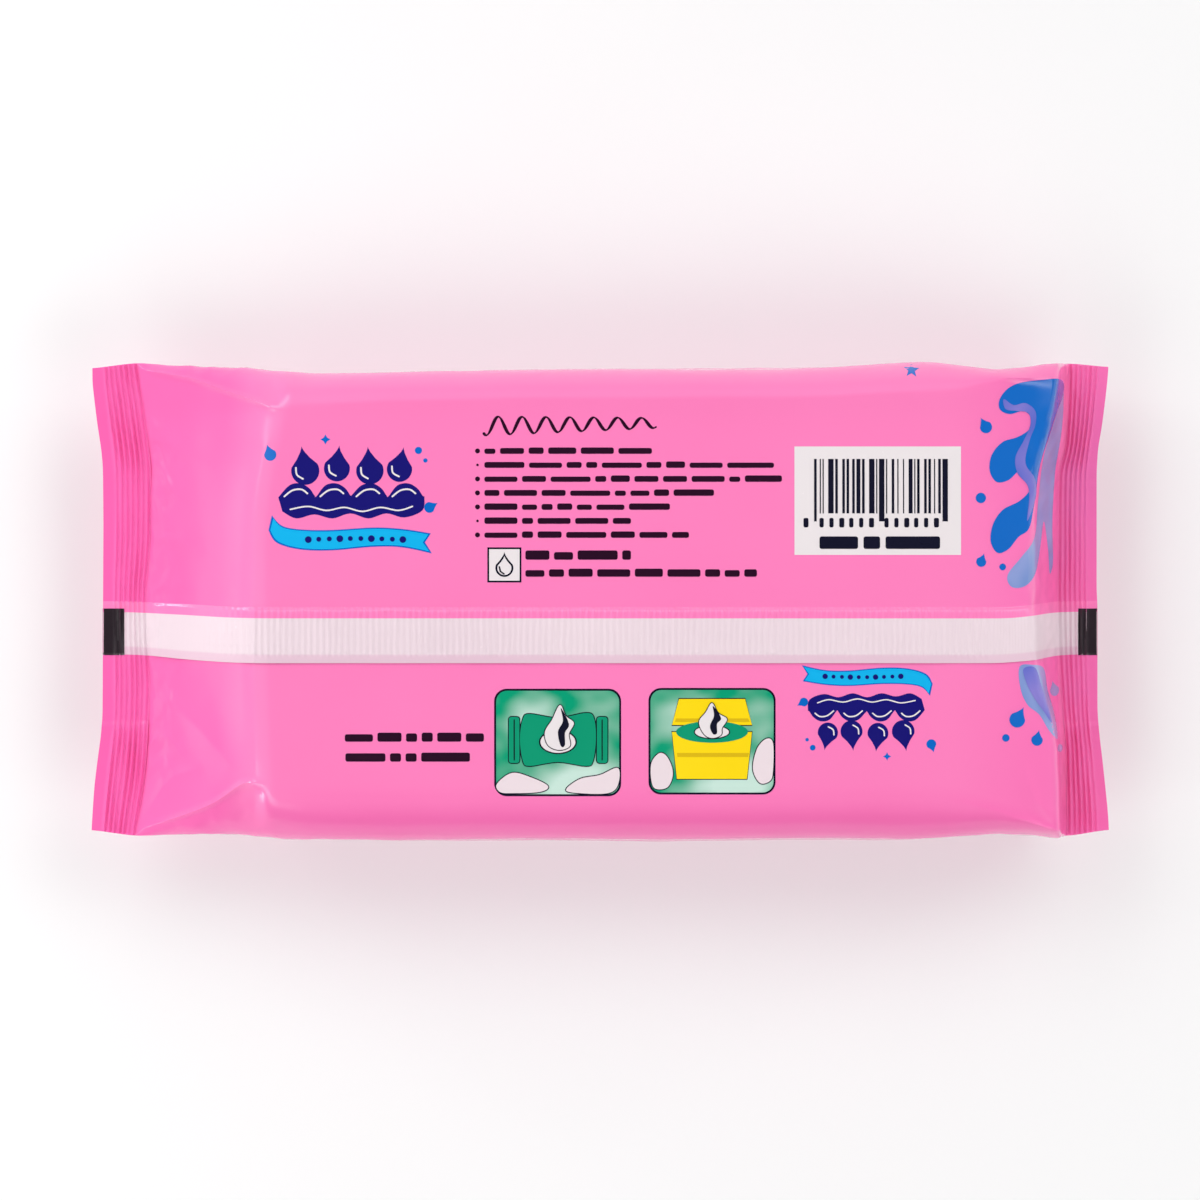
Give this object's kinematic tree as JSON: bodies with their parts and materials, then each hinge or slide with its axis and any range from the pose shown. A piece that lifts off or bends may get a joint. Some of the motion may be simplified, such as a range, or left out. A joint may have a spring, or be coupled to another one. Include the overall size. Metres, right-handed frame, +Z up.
{
  "type": "wet wipes pack",
  "caption": "Sealed flow-wrapped film pack of wet wipes with gusseted ends, crimped end seals, a folded back fin and a peelable label on its front.",
  "frame": {"origin": "middle of the pack's footprint, in the plane of the front face that it lies on", "axes": "+X along the pack, towards the end whose seal sits close to the stack; +Y across it, away from the free edge of the folded back fin; +Z up, out of the back panel"},
  "size_m": [0.24, 0.1128, 0.049],
  "materials": {
    "film": "glossy printed film, bubble-gum pink",
    "label": "satin coated label film, pale pink",
    "fin_film": "unprinted white film edge, ribbed by the sealing jaws",
    "ink_navy": "navy print under the film's gloss",
    "ink_blue": "bright blue print under the film's gloss",
    "ink_cyan": "light blue print under the film's gloss",
    "ink_dark": "near-black print under the film's gloss",
    "ink_white": "off-white print under the film's gloss",
    "ink_green": "green print under the film's gloss",
    "ink_yellow": "yellow print under the film's gloss"
  },
  "bodies": {
    "root": {"pack": "film", "reseal_label": "label"}
  },
  "joints": []
}
